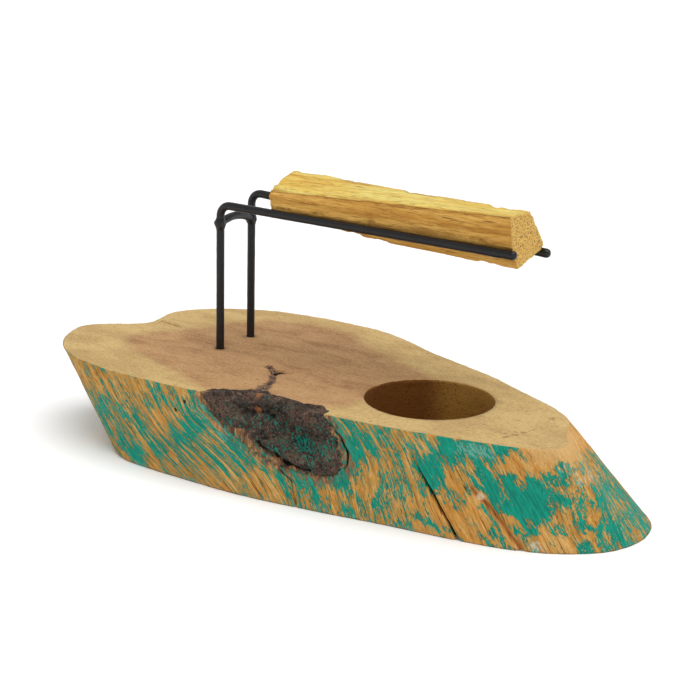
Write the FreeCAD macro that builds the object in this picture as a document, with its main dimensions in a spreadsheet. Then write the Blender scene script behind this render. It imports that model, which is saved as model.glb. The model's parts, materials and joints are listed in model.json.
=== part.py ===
import FreeCAD, Part
import math
import os
import Sketcher
from FreeCAD import Placement, Rotation, Vector

# Incense burner: a branch slab with a tealight pocket, a stand of two bent steel rods plugged into
# it, and a split stick of scented wood that lies loose on the two arms.
#
# Frame, in millimetres: the origin is on the underside, below the middle of the slab. +Z is up and
# +X runs along the arms, from the legs towards the pocket. The front, with the knot, faces -Y.

SIZES = {
    # slab
    "base_length": 218.0,
    "base_width": 105.0,
    "base_thickness": 32.0,
    # tealight pocket
    "pocket_diameter": 42.0,
    "pocket_depth": 20.0,
    "pocket_x": 36.0,
    "pocket_y": -12.0,
    # hollow around the knot, an ellipsoid whose long axis dips towards the pocket
    "knot_x": 4.0,
    "knot_outset": 2.5,
    "knot_below_top": 6.0,
    "knot_reach_along": 32.0,
    "knot_reach_in": 16.0,
    "knot_reach_up": 13.0,
    "knot_dip": 20.0,
    "bark_thickness": 4.0,
    # stand
    "rod_diameter": 2.8,
    "leg_gauge": 19.0,
    "leg_x": -52.0,
    "rear_leg_set_back": 1.5,
    "leg_insert": 20.0,
    "bend_radius": 4.0,
    "front_arm_height": 51.0,
    "rear_arm_height": 52.5,
    "front_arm_length": 116.0,
    "rear_arm_length": 118.0,
    "front_arm_droop": 0.2,
    "rear_arm_droop": 2.3,
    "front_arm_splay": 0.8,
    "rear_arm_splay": 0.2,
    "tip_flat_radius": 0.2,
    # brace between the legs, below the bends
    "brace_drop": 6.5,
    "brace_fall": 1.5,
    "brace_bow": 2.0,
    "weld_build_up": 1.0,
    "weld_reach": 1.8,
    # stick
    "stick_start": -31.0,
    "stick_end": 62.0,
    # fits
    "socket_clearance": 0.3,
    "seat_clearance": 0.2,
}

# Angles, the rest are lengths.
ANGLES = ("knot_dip", "front_arm_droop", "rear_arm_droop", "front_arm_splay", "rear_arm_splay")

# The two sawn faces, drawn at the slab's own length and width. Each runs from the left tip along the
# front to the right end and back along the rear, and the nth points of both lie on one line of the
# grain.
DRAWN_LENGTH = 218.0
DRAWN_WIDTH = 105.0
TOP_OUTLINE = [
    (-109, -22), (-104, -33), (-92, -45), (-67, -53), (-40, -53.5), (-10, -50.5), (20, -46),
    (45, -43.5), (70, -38), (87, -32.5), (92, -27.5), (87.5, -16), (82, -4), (62, 10.5), (36, 24),
    (8, 34),
    (-16, 45), (-45, 47), (-70, 43), (-88, 32), (-97, 16), (-94, 0), (-104, -10),
]
BOTTOM_OUTLINE = [
    (-84, -22), (-78, -33), (-67, -47), (-45, -51), (-20, -51.5), (12, -48.5), (40, -43.5),
    (64, -40), (84, -35), (96, -28.5), (105, -19), (109, -6), (103, 13), (88, 23), (62, 34),
    (32, 44),
    (6, 50), (-22, 51.5), (-46, 48), (-64, 38), (-74, 22), (-76, 4), (-82, -10),
]

doc = FreeCAD.newDocument("incense_burner")
sheet = doc.addObject("Spreadsheet::Sheet", "Sizes")
for row, (alias, value) in enumerate(SIZES.items(), start=1):
    sheet.set(f"A{row}", alias.replace("_", " "))
    sheet.set(f"B{row}", str(value))
    sheet.setAlias(f"B{row}", alias)
doc.recompute()


def size(alias):
    """The value of one driving dimension."""
    return float(sheet.get(alias))


def ref(alias):
    """The same dimension as text for an expression, with its unit."""
    unit = "deg" if alias in ANGLES else "mm"
    return f"Sizes.{alias} * 1 {unit}"


# ---- helpers -----------------------------------------------------------------------------------

def new_body(label):
    body = doc.addObject("PartDesign::Body", label)
    body.Label = label
    return body


def new_sketch(body, name, role, **offset):
    """A sketch on one of the body's own origin planes; offset binds axes of its attachment."""
    plane = next(item for item in body.Origin.OriginFeatures if item.Role == role)
    sketch = body.newObject("Sketcher::SketchObject", name)
    sketch.AttachmentSupport = [(plane, "")]
    sketch.MapMode = "FlatFace"
    for axis, expression in offset.items():
        sketch.setExpression(f".AttachmentOffset.Base.{axis}", expression)
    return sketch


def add_circle(sketch, diameter, x, y):
    """A circle whose diameter and centre are bound."""
    circle = sketch.addGeometry(Part.Circle(Vector(1, 1, 0), Vector(0, 0, 1), 1), False)
    index = sketch.addConstraint(Sketcher.Constraint("Diameter", circle, 2))
    sketch.setExpression(f"Constraints[{index}]", diameter)
    for kind, expression in (("DistanceX", x), ("DistanceY", y)):
        index = sketch.addConstraint(Sketcher.Constraint(kind, -1, 1, circle, 3, 1))
        sketch.setExpression(f"Constraints[{index}]", expression)


def add_spline(sketch, points):
    """A smooth closed curve through the points."""
    curve = Part.BSplineCurve()
    curve.interpolate(Points=points, PeriodicFlag=True)
    sketch.addGeometry(curve, False)


def add_polygon(sketch, points):
    for start, end in zip(points, points[1:] + points[:1]):
        sketch.addGeometry(Part.LineSegment(start, end), False)


def boolean(kind, label, base, tool):
    result = doc.addObject(f"Part::{kind}", label)
    result.Label = label
    result.Base = base
    result.Tool = tool
    return result


# ---- slab --------------------------------------------------------------------------------------

def outline(points):
    scale_x = size("base_length") / DRAWN_LENGTH
    scale_y = size("base_width") / DRAWN_WIDTH
    return [Vector(x * scale_x, y * scale_y, 0) for x, y in points]


def slab_blank():
    """The sawn slab, with the tealight pocket and the two leg sockets cut into its top."""
    body = new_body("slab_blank")
    lower = new_sketch(body, "slab_bottom_outline", "XY_Plane")
    add_spline(lower, outline(BOTTOM_OUTLINE))
    upper = new_sketch(body, "slab_top_outline", "XY_Plane", z=ref("base_thickness"))
    add_spline(upper, outline(TOP_OUTLINE))
    slab = body.newObject("PartDesign::AdditiveLoft", "slab_loft")
    slab.Profile = lower
    slab.Sections = [upper]
    slab.Ruled = True

    rim = new_sketch(body, "pocket_rim", "XY_Plane", z=ref("base_thickness"))
    add_circle(rim, ref("pocket_diameter"), ref("pocket_x"), ref("pocket_y"))
    pocket = body.newObject("PartDesign::Pocket", "tealight_pocket")
    pocket.Profile = rim
    pocket.setExpression("Length", ref("pocket_depth"))

    bore = f"{ref('rod_diameter')} + 2 * {ref('socket_clearance')}"
    mouths = new_sketch(body, "socket_mouths", "XY_Plane", z=ref("base_thickness"))
    add_circle(mouths, bore, ref("leg_x"), f"-{ref('leg_gauge')} / 2")
    add_circle(mouths, bore, f"{ref('leg_x')} - {ref('rear_leg_set_back')}", f"{ref('leg_gauge')} / 2")
    sockets = body.newObject("PartDesign::Pocket", "leg_sockets")
    sockets.Profile = mouths
    sockets.setExpression("Length", f"{ref('leg_insert')} + {ref('socket_clearance')}")
    return body


def knot_ellipsoid(name, skin):
    """The hollow around the knot, drawn in by a skin that is given as an expression."""
    hollow = doc.addObject("Part::Ellipsoid", name)
    hollow.setExpression("Radius1", f"{ref('knot_reach_up')} - {skin}")
    hollow.setExpression("Radius2", f"{ref('knot_reach_along')} - {skin}")
    hollow.setExpression("Radius3", f"{ref('knot_reach_in')} - {skin}")
    hollow.Placement.Rotation = Rotation(Vector(0, 1, 0), size("knot_dip"))
    hollow.setExpression(".Placement.Base.x", ref("knot_x"))
    hollow.setExpression(".Placement.Base.y", f"-{ref('base_width')} / 2 - {ref('knot_outset')}")
    hollow.setExpression(".Placement.Base.z", f"{ref('base_thickness')} - {ref('knot_below_top')}")
    return hollow


def slab_and_bark():
    blank = slab_blank()
    hollow = knot_ellipsoid("knot_hollow", "0 mm")
    bark_face = knot_ellipsoid("bark_face", ref("bark_thickness"))
    base = boolean("Cut", "wooden_base", blank, hollow)
    plug = boolean("Common", "knot_plug", blank, hollow)
    bark = boolean("Cut", "knot_bark", plug, bark_face)
    return base, bark


# ---- stand -------------------------------------------------------------------------------------

def leg_axis(side):
    """Plan position of a leg's axis."""
    if side == "front":
        return size("leg_x"), -size("leg_gauge") / 2
    return size("leg_x") - size("rear_leg_set_back"), size("leg_gauge") / 2


def outward_sign(side):
    return -1 if side == "front" else 1


def arm_point(side, x):
    """Plan offset and height of an arm's axis where it passes a given x."""
    start_x, start_y = leg_axis(side)
    along = x - start_x
    y = start_y + outward_sign(side) * along * math.tan(math.radians(size(f"{side}_arm_splay")))
    top = size("base_thickness") + size(f"{side}_arm_height")
    return y, top - along * math.tan(math.radians(size(f"{side}_arm_droop")))


def rod_length(label, start, rotation, length):
    """A straight run of rod."""
    run = doc.addObject("Part::Cylinder", label)
    run.setExpression("Radius", f"{ref('rod_diameter')} / 2")
    run.setExpression("Height", length)
    run.Placement = Placement(start, rotation)
    return run


def rod_bend(label, centre, start, turn, towards, radius):
    """A bent run of rod: its axis turns by an angle from start, about centre, towards a direction."""
    bend = doc.addObject("Part::Torus", label)
    bend.setExpression("Radius1", radius)
    bend.setExpression("Radius2", f"{ref('rod_diameter')} / 2")
    bend.setExpression("Angle3", turn)
    outward = (start - centre).normalize()
    normal = outward.cross(towards).normalize()
    bend.Placement = Placement(centre, Rotation(outward, normal.cross(outward), normal, "XZY"))
    return bend


def bent_rod(side):
    """A rod bent once: its leg goes down into the slab and its arm reaches out over the pocket."""
    arm_height = ref(f"{side}_arm_height")
    arm_length = ref(f"{side}_arm_length")
    turn = f"(90 deg + {ref(f'{side}_arm_droop')})"
    setback = f"{ref('bend_radius')} * tan({turn} / 2)"
    turn_angle = 90 + size(f"{side}_arm_droop")
    bend_setback = size("bend_radius") * math.tan(math.radians(turn_angle) / 2)
    splay = Rotation(Vector(0, 0, 1), outward_sign(side) * size(f"{side}_arm_splay"))
    arm_direction = splay * Rotation(Vector(0, 1, 0), turn_angle)

    foot = Vector(*leg_axis(side), size("base_thickness") - size("leg_insert"))
    corner = Vector(*leg_axis(side), size("base_thickness") + size(f"{side}_arm_height"))
    leg_top = corner - Vector(0, 0, bend_setback)
    bend_centre = leg_top + splay.multVec(Vector(size("bend_radius"), 0, 0))
    arm_start = corner + arm_direction.multVec(Vector(0, 0, bend_setback))

    runs = [
        rod_length(f"{side}_leg", foot, Rotation(), f"{ref('leg_insert')} + {arm_height} - {setback}"),
        rod_bend(f"{side}_bend", bend_centre, leg_top, turn, Vector(0, 0, 1), ref("bend_radius")),
        rod_length(f"{side}_arm", arm_start, arm_direction, f"{arm_length} - {setback}"),
    ]
    whole = doc.addObject("Part::MultiFuse", f"{side}_rod_whole")
    whole.Shapes = runs
    whole.Refine = True
    doc.recompute()

    tip_edge = max(range(len(whole.Shape.Edges)), key=lambda n: whole.Shape.Edges[n].CenterOfMass.x)
    rod = doc.addObject("Part::Fillet", f"{side}_rod")
    rod.Base = whole
    tip_rounding = size("rod_diameter") / 2 - size("tip_flat_radius")
    rod.Edges = [(tip_edge + 1, tip_rounding, tip_rounding)]
    return rod


def brace_ends():
    """The brace's ends, on the two leg axes."""
    front_x, front_y = leg_axis("front")
    rear_x, rear_y = leg_axis("rear")
    height = size("base_thickness") + size("front_arm_height") - size("brace_drop")
    return Vector(front_x, front_y, height), Vector(rear_x, rear_y, height - size("brace_fall"))


def brace(front_rod, rear_rod):
    """A bowed length of rod between the legs, its ends coped to fit round them."""
    front_end, rear_end = brace_ends()
    chord = rear_end - front_end
    half = chord.Length / 2
    radius = (half ** 2 + size("brace_bow") ** 2) / (2 * size("brace_bow"))
    side = chord.cross(Vector(0, 0, 1))
    rise = side.cross(chord).normalize()
    centre = (front_end + rear_end) * 0.5 - rise * (radius - size("brace_bow"))
    turn = 2 * math.degrees(math.asin(half / radius))
    blank = rod_bend("brace_blank", centre, front_end, f"{turn} deg", rear_end - centre, f"{radius} mm")
    coped_front = boolean("Cut", "brace_coped_front", blank, front_rod)
    return boolean("Cut", "cross_brace", coped_front, rear_rod)


def weld(side, end, rod, brace_piece):
    """A lump of weld metal round a leg, where the brace meets it."""
    lump = doc.addObject("Part::Ellipsoid", f"{side}_weld_lump")
    lump.setExpression("Radius1", f"{ref('rod_diameter')} / 2 + {ref('weld_build_up')}")
    lump.setExpression("Radius2", f"{ref('rod_diameter')} / 2 + {ref('weld_reach')}")
    lump.setExpression("Radius3", f"{ref('rod_diameter')} / 2 + {ref('weld_build_up')}")
    lump.Placement = Placement(end, Rotation(Vector(0, 1, 0), 90))
    round_leg = boolean("Cut", f"{side}_weld_round_leg", lump, rod)
    return boolean("Cut", f"{side}_weld", round_leg, brace_piece)


# ---- stick -------------------------------------------------------------------------------------

# The stick's two ends. Its lower faces rest on the arms: front_slope is the front one's angle from
# upright and rear_slope the rear one's from level, and each runs past its arm by an overhang. ridge
# and back are the two upper corners, from the keel where the lower faces meet.
STICK_ENDS = {
    "stick_start": dict(front_slope=42, rear_slope=24, front_overhang=1.0, rear_overhang=1.6,
                        ridge=(-5.4, 11.3), back=(8.4, 16.7)),
    "stick_end": dict(front_slope=30, rear_slope=15, front_overhang=2.4, rear_overhang=1.3,
                      ridge=(-6.3, 17.4), back=(6.2, 17.2)),
}


def crossing(start, direction, other_start, other_direction):
    """Where two lines in a plane cross."""
    gap = other_start - start
    turn = direction.cross(other_direction).z
    return start + direction * (gap.cross(other_direction).z / turn)


def seated_section(x, front_slope, rear_slope, front_overhang, rear_overhang, ridge, back):
    """The five corners of the stick's section at x, seated on the arms: y across, z up."""
    reach = size("rod_diameter") / 2 + size("seat_clearance")
    front_up = Vector(-math.sin(math.radians(front_slope)), math.cos(math.radians(front_slope)), 0)
    rear_up = Vector(math.cos(math.radians(rear_slope)), math.sin(math.radians(rear_slope)), 0)
    front_touch = Vector(*arm_point("front", x), 0) + Vector(front_up.y, -front_up.x, 0) * reach
    rear_touch = Vector(*arm_point("rear", x), 0) + Vector(-rear_up.y, rear_up.x, 0) * reach
    keel = crossing(front_touch, front_up, rear_touch, rear_up)
    return [
        keel,
        rear_touch + rear_up * rear_overhang,
        keel + Vector(*back, 0),
        keel + Vector(*ridge, 0),
        front_touch + front_up * front_overhang,
    ]


def stick():
    """A split stick, five-sided and slightly twisted, lying in the trough of the two arms."""
    body = new_body("palo_santo_stick")
    sections = []
    for alias, shape in STICK_ENDS.items():
        section = new_sketch(body, f"{alias}_section", "YZ_Plane", z=ref(alias))
        add_polygon(section, seated_section(size(alias), **shape))
        sections.append(section)
    loft = body.newObject("PartDesign::AdditiveLoft", "stick_loft")
    loft.Profile = sections[0]
    loft.Sections = sections[1:]
    loft.Ruled = True
    return body


# ---- assembly ----------------------------------------------------------------------------------

wooden_base, knot_bark = slab_and_bark()
front_rod = bent_rod("front")
rear_rod = bent_rod("rear")
doc.recompute()
cross_brace = brace(front_rod, rear_rod)
front_end, rear_end = brace_ends()
front_weld = weld("front", front_end, front_rod, cross_brace)
rear_weld = weld("rear", rear_end, rear_rod, cross_brace)
palo_santo_stick = stick()
doc.recompute()

for item in doc.Objects:
    if {"Invalid", "Error"} & set(item.State):
        raise RuntimeError(f"{item.Label} failed: {item.State}")

NODES = [wooden_base, knot_bark, front_rod, rear_rod, cross_brace, front_weld, rear_weld,
         palo_santo_stick]
os.makedirs("parts", exist_ok=True)
for node in NODES:
    shape = node.Shape
    if shape.isNull() or not shape.isValid() or not shape.Solids:
        raise RuntimeError(f"{node.Label} has no valid solid")
    print(node.Label, "solids", len(shape.Solids), "volume", round(shape.Volume, 1), "mm3")
for node in NODES:
    node.Shape.exportStep(f"parts/{node.Label}.step")
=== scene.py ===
"""Looks for the incense burner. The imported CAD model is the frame, and every piece is built round it.

Lengths are millimetres in the row frame until a mesh is made, where MM turns them into metres.
"""

import json
import math
from collections import namedtuple

import bpy
import numpy as np
from mathutils import Matrix, Vector
from mathutils.bvhtree import BVHTree
from mathutils.geometry import delaunay_2d_cdt
from mathutils.kdtree import KDTree


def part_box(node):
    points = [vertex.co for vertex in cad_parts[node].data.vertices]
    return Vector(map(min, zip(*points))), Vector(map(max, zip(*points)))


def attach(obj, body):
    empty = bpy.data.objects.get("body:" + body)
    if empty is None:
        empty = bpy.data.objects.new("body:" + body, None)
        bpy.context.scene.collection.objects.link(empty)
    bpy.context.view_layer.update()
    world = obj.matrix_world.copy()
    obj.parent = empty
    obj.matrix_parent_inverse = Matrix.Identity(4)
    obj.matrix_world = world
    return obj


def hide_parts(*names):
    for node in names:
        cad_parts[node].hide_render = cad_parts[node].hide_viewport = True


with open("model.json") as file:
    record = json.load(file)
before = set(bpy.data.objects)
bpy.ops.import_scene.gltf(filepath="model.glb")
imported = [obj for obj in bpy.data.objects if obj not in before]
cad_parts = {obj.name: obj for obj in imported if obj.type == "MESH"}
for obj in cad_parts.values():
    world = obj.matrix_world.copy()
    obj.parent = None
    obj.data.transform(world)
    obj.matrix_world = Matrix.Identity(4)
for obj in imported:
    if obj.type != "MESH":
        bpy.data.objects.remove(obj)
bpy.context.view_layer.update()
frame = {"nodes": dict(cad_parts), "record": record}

MM = 0.001
TURN = 2 * math.pi


# ---------------- noise

# Large numbers that scramble a corner and a seed into a number that looks random.
AXIS_PRIMES = (73856093, 19349663, 83492791)
SEED_STEP, SEED_START = 2246822519, 374761393
SCRAMBLES = ((1274126177, 13), (668265263, 15))  # a factor and a shift for each round
LOW_BITS, SHORT_BITS = 0x7FFFFFFF, 0xFFFF
FINER, SEED_GAP = 2.03, 17  # from one layer of noise to the next
NOT_ZERO = 1e-12  # keeps a level edge from dividing by zero


def lattice(corner, seed):
    """A repeatable number from 0 to 1 for each whole-number corner."""
    x, y, z = (corner * np.array(AXIS_PRIMES)).T
    mixed = x ^ y ^ z ^ (seed * SEED_STEP + SEED_START)
    for factor, shift in SCRAMBLES:
        mixed = (mixed ^ (mixed >> shift)) * factor & LOW_BITS
    return ((mixed ^ (mixed >> 11)) & SHORT_BITS) / SHORT_BITS


def noise(places, seed=0):
    """Smooth noise from -1 to 1, with one bump or so per unit of places."""
    base = np.floor(places).astype(np.int64)
    part = places - base
    after = part * part * (3 - 2 * part)
    total = np.zeros(len(places))
    for corner in np.ndindex(2, 2, 2):
        weight = np.prod(np.where(corner, after, 1 - after), axis=1)
        total += weight * lattice(base + np.array(corner), seed)
    return 2 * total - 1


def layers(places, seed=0, count=3, fade=0.5):
    """Noise with finer noise on it, from about -1 to 1."""
    total = np.zeros(len(places))
    size = 1.0
    for layer in range(count):
        total += size * noise(places * FINER ** layer, seed + SEED_GAP * layer)
        size *= fade
    return total


def pair(places, size, seeds, count):
    """Two unlike layers of noise side by side, to move places with."""
    return np.stack([layers(places / size, seed, count) for seed in seeds], axis=1)


def hump(gap, reach):
    """1 where gap is 0, falling away smoothly within about reach."""
    return np.exp(-(gap / reach) ** 2)


def ease(value, low, high):
    """0 below low, 1 above high, and a smooth step between them."""
    share = np.clip((value - low) / (high - low), 0, 1)
    return share * share * (3 - 2 * share)


def to_line(places, line):
    """How far each place is from a line of points, and how far along it its nearest point is, 0 to 1."""
    line = np.array(line, float)
    best = np.full(len(places), np.inf)
    along = np.zeros(len(places))
    for i, (start, end) in enumerate(zip(line[:-1], line[1:])):
        step = end - start
        share = np.clip((places - start) @ step / (step @ step), 0, 1)
        gap = np.linalg.norm(places - start - share[:, None] * step, axis=1)
        along = np.where(gap < best, (i + share) / (len(line) - 1), along)
        best = np.minimum(best, gap)
    return best, along


def inside(places, outline):
    """Signed distance to a closed flat outline: above zero inside it."""
    outline = np.array(outline, float)
    gap, _ = to_line(places, np.vstack([outline, outline[:1]]))
    within = np.zeros(len(places), bool)
    for a, b in zip(outline, np.roll(outline, -1, axis=0)):
        crosses = (a[1] > places[:, 1]) != (b[1] > places[:, 1])
        reach = a[0] + (places[:, 1] - a[1]) / (b[1] - a[1] + NOT_ZERO) * (b[0] - a[0])
        within ^= crosses & (places[:, 0] < reach)
    return np.where(within, gap, -gap)


# ---------------- meshes

def read(items, field):
    """A field of three numbers, one row per item."""
    found = np.empty(len(items) * 3, np.float32)
    items.foreach_get(field, found)
    return found.reshape(-1, 3).astype(float)


def node_points(name):
    """The corners of a CAD node."""
    return read(frame["nodes"][name].data.vertices, "co") / MM


def node_tree(name):
    """A CAD node's surface, ready for rays and nearest points."""
    mesh = frame["nodes"][name].data
    mesh.calc_loop_triangles()
    return BVHTree.FromPolygons(node_points(name).tolist(), [t.vertices[:] for t in mesh.loop_triangles])


def node_box(name):
    """Lowest and highest corner of a CAD node."""
    low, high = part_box(name)
    return np.array(low) / MM, np.array(high) / MM


INSIDE_ONLY, SAME_POINT = 1, 1e-6  # how the flat faces are filled, and how near points join


class Sheet:
    """Points and faces gathered part by part, so that neighbouring parts share their edge points."""

    def __init__(self):
        self.points, self.faces, self.kinds = [], [], []

    def add(self, places):
        """Adds points and returns their numbers, in the shape that places has."""
        places = np.asarray(places, float)
        first = len(self.points)
        self.points.extend(places.reshape(-1, 3))
        return np.arange(first, len(self.points)).reshape(places.shape[:-1])

    def face(self, corners, kind):
        self.faces.append([int(c) for c in corners])
        self.kinds.append(kind)

    def rows(self, grid, kind):
        """Quads between each row of point numbers and the next, closed round."""
        for upper, lower in zip(grid[:-1], grid[1:]):
            after_upper, after_lower = np.roll(upper, -1), np.roll(lower, -1)
            for corners in zip(upper, lower, after_lower, after_upper):
                self.face(corners, kind)

    def fan(self, ring, centre, kind):
        """Triangles from a ring of point numbers to one centre."""
        for a, b in zip(ring, np.roll(ring, -1)):
            self.face((b, a, centre), kind)

    def plane(self, rings, extra, height, kind, up):
        """A flat face at a height, bounded by rings of point numbers, with extra points in it."""
        known = np.concatenate(rings)
        flat = [Vector(self.points[n][:2]) for n in known] + [Vector(p) for p in extra]
        edges, first = [], 0
        for ring in rings:
            count = len(ring)
            edges += [(first + i, first + (i + 1) % count) for i in range(count)]
            first += count
        places, _, triangles, origins, _, _ = delaunay_2d_cdt(flat, edges, [], INSIDE_ONLY, SAME_POINT)
        starts = np.cumsum([0] + [len(ring) for ring in rings])
        number = {}
        for triangle in triangles:
            sources = np.array([min(origins[c], default=len(known)) for c in triangle])
            owners = np.searchsorted(starts, sources, side="right")
            in_a_hole = 2 <= owners[0] <= len(rings) and len(set(owners)) == 1
            if in_a_hole:
                continue
            for corner in triangle:
                if corner not in number:
                    source = min(origins[corner], default=len(known))
                    if source < len(known):
                        number[corner] = known[source]
                    else:
                        number[corner] = self.add([[*places[corner], height]])[0]
            corners = [number[c] for c in triangle]
            self.face(corners if up else corners[::-1], kind)

    def mesh(self, name):
        made = bpy.data.meshes.new(name)
        made.from_pydata(np.array(self.points).tolist(), [], self.faces)
        made.polygons.foreach_set("material_index", self.kinds)
        made.update()
        return made


def add_object(name, data):
    """Puts a new object in the scene."""
    made = bpy.data.objects.new(name, data)
    bpy.context.scene.collection.objects.link(made)
    return made


def show(name, mesh, body, replaced, materials):
    """Makes a mesh whose points are in millimetres into a piece of the object."""
    mesh.transform(Matrix.Scale(MM, 4))
    piece = add_object(name, mesh)
    kinds = np.zeros(len(mesh.polygons), np.int32)
    mesh.polygons.foreach_get("material_index", kinds)
    mesh.materials.clear()
    for material in materials:
        mesh.materials.append(material)
    mesh.polygons.foreach_set("material_index", kinds)
    mesh.shade_smooth()
    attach(piece, body)
    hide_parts(*replaced)
    return piece


def surface(mesh):
    """A mesh's points and the normals at them."""
    return read(mesh.vertices, "co"), read(mesh.vertex_normals, "vector")


def set_points(mesh, places):
    mesh.vertices.foreach_set("co", places.astype(np.float32).ravel())
    mesh.update()


def keep(mesh, name, values):
    """Stores a number or a vector at each point, for the material to read."""
    kind, field = ("FLOAT", "value") if values.ndim == 1 else ("FLOAT_VECTOR", "vector")
    mesh.attributes.new(name, kind, "POINT").data.foreach_set(field, values.astype(np.float32).ravel())


def remeshed(node, voxel, smooth):
    """A fine, even copy of a CAD node, in millimetres."""
    copy = add_object("copy", frame["nodes"][node].data.copy())
    copy.data.transform(Matrix.Scale(1 / MM, 4))
    fine = copy.modifiers.new("fine", "REMESH")
    fine.mode, fine.voxel_size = "VOXEL", voxel
    relax = copy.modifiers.new("relax", "SMOOTH")
    relax.iterations = smooth
    graph = bpy.context.evaluated_depsgraph_get()
    mesh = bpy.data.meshes.new_from_object(copy.evaluated_get(graph), depsgraph=graph)
    bpy.data.objects.remove(copy)
    return mesh


# ---------------- materials

STUDIO = 1.12  # how much the lights lift a colour


def srgb(red, green, blue):
    """The paint whose colour under the studio lights is this one, 0 to 255 on a screen."""
    parts = [c / 255 for c in (red, green, blue)]
    linear = [c / 12.92 if c <= 0.04045 else ((c + 0.055) / 1.055) ** 2.4 for c in parts]
    return tuple(c / STUDIO for c in linear) + (1.0,)


class Look:
    """A procedural material, built a node at a time. Sizes are in millimetres."""

    def __init__(self, name):
        self.material = bpy.data.materials.new(name)
        self.material.use_nodes = True
        self.tree = self.material.node_tree
        self.tree.nodes.clear()

    def node(self, kind, inputs, **settings):
        made = self.tree.nodes.new("ShaderNode" + kind)
        for name, value in settings.items():
            setattr(made, name, value)
        for socket, value in inputs.items():
            if isinstance(value, bpy.types.NodeSocket):
                self.tree.links.new(value, made.inputs[socket])
            else:
                made.inputs[socket].default_value = value
        return made

    def kept(self, name, vector=False):
        """What keep() stored at the points."""
        made = self.node("Attribute", {}, attribute_name=name)
        return made.outputs["Vector" if vector else "Fac"]

    def places(self):
        """The place on the piece, in millimetres."""
        inside_piece = self.node("TexCoord", {}).outputs["Object"]
        return self.scaled(inside_piece, 1 / MM, 1 / MM, 1 / MM)

    def scaled(self, vector, x, y, z):
        return self.node("VectorMath", {0: vector, 1: (x, y, z)}, operation="MULTIPLY").outputs[0]

    def noise(self, vector, sizes, detail=2.0, rough=0.5, bend=0.0):
        """Noise from 0 to 1. Its bumps measure sizes: one number, or one for each axis."""
        sizes = sizes if isinstance(sizes, tuple) else (sizes,) * 3
        stretched = self.scaled(vector, *(1 / s for s in sizes))
        values = {"Vector": stretched, "Scale": 1.0, "Detail": detail, "Roughness": rough, "Distortion": bend}
        return self.node("TexNoise", values).outputs["Fac"]

    def maths(self, operation, a, b):
        return self.node("Math", {0: a, 1: b}, operation=operation).outputs[0]

    def times(self, a, b):
        return self.maths("MULTIPLY", a, b)

    def total(self, *terms):
        """The sum of value times weight over the terms."""
        found = None
        for value, weight in terms:
            part = self.times(value, weight)
            found = part if found is None else self.maths("ADD", found, part)
        return found

    def window(self, value, low, high):
        """0 at low and 1 at high, with a smooth step between them."""
        values = {"Value": value, "From Min": low, "From Max": high}
        return self.node("MapRange", values, interpolation_type="SMOOTHSTEP").outputs["Result"]

    def between(self, share, at_none, at_all):
        """A number that goes from at_none to at_all as share goes from 0 to 1."""
        return self.node("MapRange", {"Value": share, "To Min": at_none, "To Max": at_all}).outputs["Result"]

    def mix(self, share, under, over):
        return self.node("Mix", {0: share, 6: under, 7: over}, data_type="RGBA").outputs[2]

    def stained(self, colour, *stains):
        """A colour with stains laid over it in turn, each up to most of it as value goes from low to high."""
        for over, most, value, low, high in stains:
            colour = self.mix(self.times(self.window(value, low, high), most), colour, over)
        return colour

    def ramp(self, value, *stops):
        made = self.node("ValToRGB", {"Fac": value})
        bar = made.color_ramp
        while len(bar.elements) < len(stops):
            bar.elements.new(0.5)
        for element, (place, colour) in zip(bar.elements, stops):
            element.position, element.color = place, colour
        return made.outputs["Color"]

    def finish(self, colour, roughness, height, depth, shine=0.5):
        """The surface, with height from 0 to 1 standing depth millimetres proud."""
        bump = self.node("Bump", {"Height": height, "Strength": 1.0, "Distance": depth * MM}).outputs[0]
        paint = {"Base Color": colour, "Roughness": roughness, "Specular IOR Level": shine, "Normal": bump}
        shader = self.node("BsdfPrincipled", paint)
        output = self.node("OutputMaterial", {"Surface": shader.outputs[0]})
        output.is_active_output = True
        return self.material


# ---------------- wooden base

SLAB_LOW, SLAB_HIGH = node_box("wooden_base")
TOP = SLAB_HIGH[2]
SIDE, FACE, WELL = 0, 1, 2  # the base's three materials

GRAIN_LINES = 1000  # columns of points round the side, each along the grain
LEVELS = 46  # rows of points up the side
PROBES = 2400  # rays shot round the side to space the columns
MORE_AT_CRACK, CRACK_REACH = 1.5, 6.0  # how much closer the columns are by the long crack, and how far
SKIN = 0.02  # rays go this far inside the top and bottom faces
EDGE_ROUND = 0.4  # radius of the sawn edges
EDGE_STEPS = (0, 22, 45, 68)  # degrees round an edge
WORN_ROUND = 0.8  # added where the right-hand tip is rubbed away
WORN_FROM_TO = (84, 104)  # where along x that begins and is full
LEAN_ALONG = ((-95, 55), (27, 18))  # places along x, and how far a fibre goes along x from top to bottom
LEAN_ACROSS = 5.0  # how far a fibre goes towards the back from the top face to the bottom one

POCKET_GRID, SOCKET_GRID = (280, 22), (28, 6)  # points round each well, and rows down it
WELL_RINGS = (0.9, 0.7, 0.45, 0.2)  # rings of points on a well's floor, as shares of its radius
SOCKET_RADIUS, SOCKET_SPARE = 1.55, 0.3  # the rods' holes, and how far they go below the rods
FOOT_SLICE = 0.5  # a rod's points this near its lowest one are its foot
TORN_DOWN, TORN_MOST, TORN_AT = 3.0, 0.75, 2.3  # torn rim: depth, longest fibre, direction in radians

COARSE_STEP, FINE_STEP = 1.9, 0.5  # between points on the top face, away from detail and near it
DETAIL_REACH = 5  # how far from a crack or mark the points are fine
SHAKE, EDGE_CLEAR = 0.2, 0.6  # shares of a step: how far points stray, how near an edge they come
MARK_SPARE = 3.5  # added to the distance from a pink mark, which is small

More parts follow.
